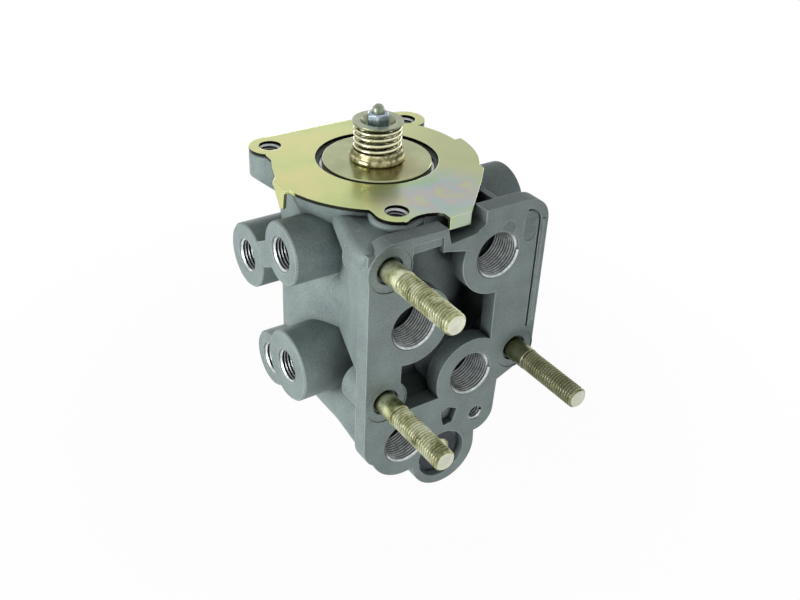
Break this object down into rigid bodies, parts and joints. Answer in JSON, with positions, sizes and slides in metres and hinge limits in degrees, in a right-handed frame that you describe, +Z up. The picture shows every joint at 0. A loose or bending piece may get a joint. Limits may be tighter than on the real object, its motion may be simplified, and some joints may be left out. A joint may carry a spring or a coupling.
{
  "type": "foot brake valve",
  "caption": "Dual circuit air brake foot valve: ported casting with stud flange, cover plate, spring-loaded plunger, two valves and a relay piston.",
  "frame": {"origin": "on the flange face, in the plane of the valve's axis, 72 mm below the top of the cover plate", "axes": "+Z up along the valve's axis, -Y out of the flange face along the studs, +X to the right seen from the studs"},
  "size_m": [0.12, 0.1573, 0.169],
  "materials": {
    "cast_aluminium": "sand blasted die casting",
    "yellow_zinc_plate": "yellow chromate on zinc",
    "yellow_zinc_stud": "yellow chromate on zinc",
    "spring_steel": "oiled",
    "gold_zinc": "yellow chromate on zinc",
    "white_zinc": "blue white zinc",
    "turned_aluminium": "turned",
    "phosphated_steel": "phosphated",
    "valve_rubber": "matte"
  },
  "bodies": {
    "housing": {"valve_body": "cast_aluminium", "cover_plate": "yellow_zinc_plate", "upper_stud": "yellow_zinc_stud", "lower_stud": "yellow_zinc_stud", "right_stud": "yellow_zinc_stud", "primary_circlip": "phosphated_steel", "primary_seat_ring": "turned_aluminium", "primary_seat_seal": "valve_rubber", "primary_valve_guide": "turned_aluminium", "primary_guide_seal": "valve_rubber", "secondary_circlip": "phosphated_steel", "secondary_seat_ring": "turned_aluminium", "secondary_seat_seal": "valve_rubber", "secondary_valve_guide": "turned_aluminium", "secondary_guide_seal": "valve_rubber", "exhaust_flap": "valve_rubber", "exhaust_sieve": "white_zinc", "exhaust_screw": "yellow_zinc_stud", "piston_return_spring": "spring_steel", "primary_valve_spring": "spring_steel", "relay_return_spring": "spring_steel", "secondary_valve_spring": "spring_steel"},
    "piston_group": {"piston_disc": "yellow_zinc_plate", "primary_piston": "turned_aluminium", "piston_seal_ring": "valve_rubber", "spindle": "white_zinc", "lock_nut": "white_zinc", "spring_collar": "gold_zinc", "graduating_spring": "spring_steel"},
    "cup": {"spring_cup": "yellow_zinc_plate"},
    "primary_valve": {"primary_valve": "valve_rubber"},
    "relay": {"relay_piston": "turned_aluminium", "relay_piston_seal": "valve_rubber"},
    "secondary_valve": {"secondary_valve": "valve_rubber"}
  },
  "joints": [
    {"name": "piston_slide", "type": "slide", "parent": "housing", "child": "piston_group", "axis": [0, 0, -1], "range_m": [0, 0.003], "stiffness_N_per_m": 3000, "springref_m": -0.002, "deforming": ["piston_return_spring"]},
    {"name": "cup_slide", "type": "slide", "parent": "piston_group", "child": "cup", "axis": [0, 0, -1], "range_m": [0, 0.004], "deforming": ["graduating_spring"]},
    {"name": "primary_valve_slide", "type": "slide", "parent": "housing", "child": "primary_valve", "axis": [0, 0, -1], "range_m": [0, 0.0021], "deforming": ["primary_valve_spring"]},
    {"name": "relay_slide", "type": "slide", "parent": "housing", "child": "relay", "axis": [0, 0, -1], "range_m": [0, 0.0027], "deforming": ["relay_return_spring"]},
    {"name": "secondary_valve_slide", "type": "slide", "parent": "housing", "child": "secondary_valve", "axis": [0, 0, -1], "range_m": [0, 0.0018], "deforming": ["secondary_valve_spring"]}
  ],
  "couplings": [
    {"joint": "cup_slide", "follows": "piston_slide", "ratio": 1.3333},
    {"joint": "primary_valve_slide", "follows": "piston_slide", "ratio": 0.7},
    {"joint": "relay_slide", "follows": "piston_slide", "ratio": 0.9},
    {"joint": "secondary_valve_slide", "follows": "piston_slide", "ratio": 0.6}
  ]
}
